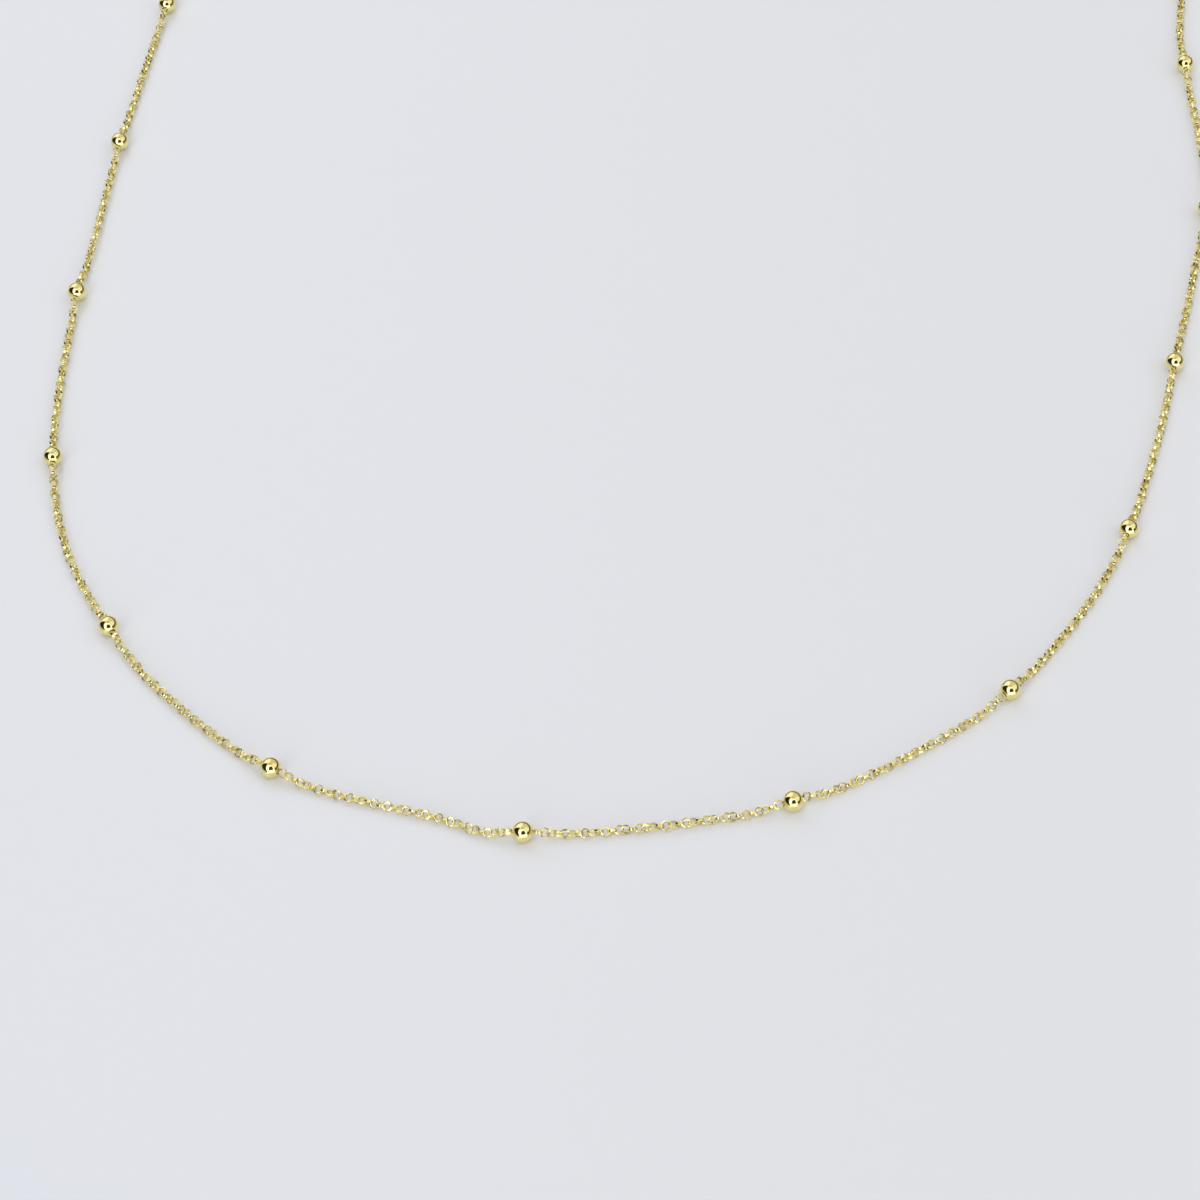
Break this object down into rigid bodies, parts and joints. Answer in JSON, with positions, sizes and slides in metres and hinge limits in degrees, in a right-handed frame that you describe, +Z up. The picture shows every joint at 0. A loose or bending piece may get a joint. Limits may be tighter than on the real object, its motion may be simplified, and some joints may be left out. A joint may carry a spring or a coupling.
{
  "type": "station necklace",
  "caption": "Fine round-link cable chain necklace in polished yellow gold with small round beads at even steps, closed by a spring ring and laid in a loop.",
  "frame": {"origin": "middle of the laid loop's bounding box, on the surface that the necklace lies on", "axes": "+Z up from the surface; +Y towards the clasp, away from the viewer; +X to the viewer's right"},
  "size_m": [0.1274, 0.1897, 0.0035],
  "materials": {
    "chain_gold": "polished yellow gold, diamond-cut facets",
    "bead_gold": "mirror-polished yellow gold",
    "clasp_gold": "polished yellow gold"
  },
  "bodies": {
    "root": {"chain": "chain_gold", "spring_ring_clasp": "clasp_gold", "catch_ring": "clasp_gold", "end_ring": "clasp_gold", "bead_01": "bead_gold", "bead_02": "bead_gold", "bead_03": "bead_gold", "bead_04": "bead_gold", "bead_05": "bead_gold", "bead_06": "bead_gold", "bead_07": "bead_gold", "bead_08": "bead_gold", "bead_09": "bead_gold", "bead_10": "bead_gold", "bead_11": "bead_gold", "bead_12": "bead_gold", "bead_13": "bead_gold", "bead_14": "bead_gold", "bead_15": "bead_gold", "bead_16": "bead_gold", "bead_17": "bead_gold", "bead_18": "bead_gold", "bead_19": "bead_gold", "bead_20": "bead_gold"}
  },
  "joints": []
}
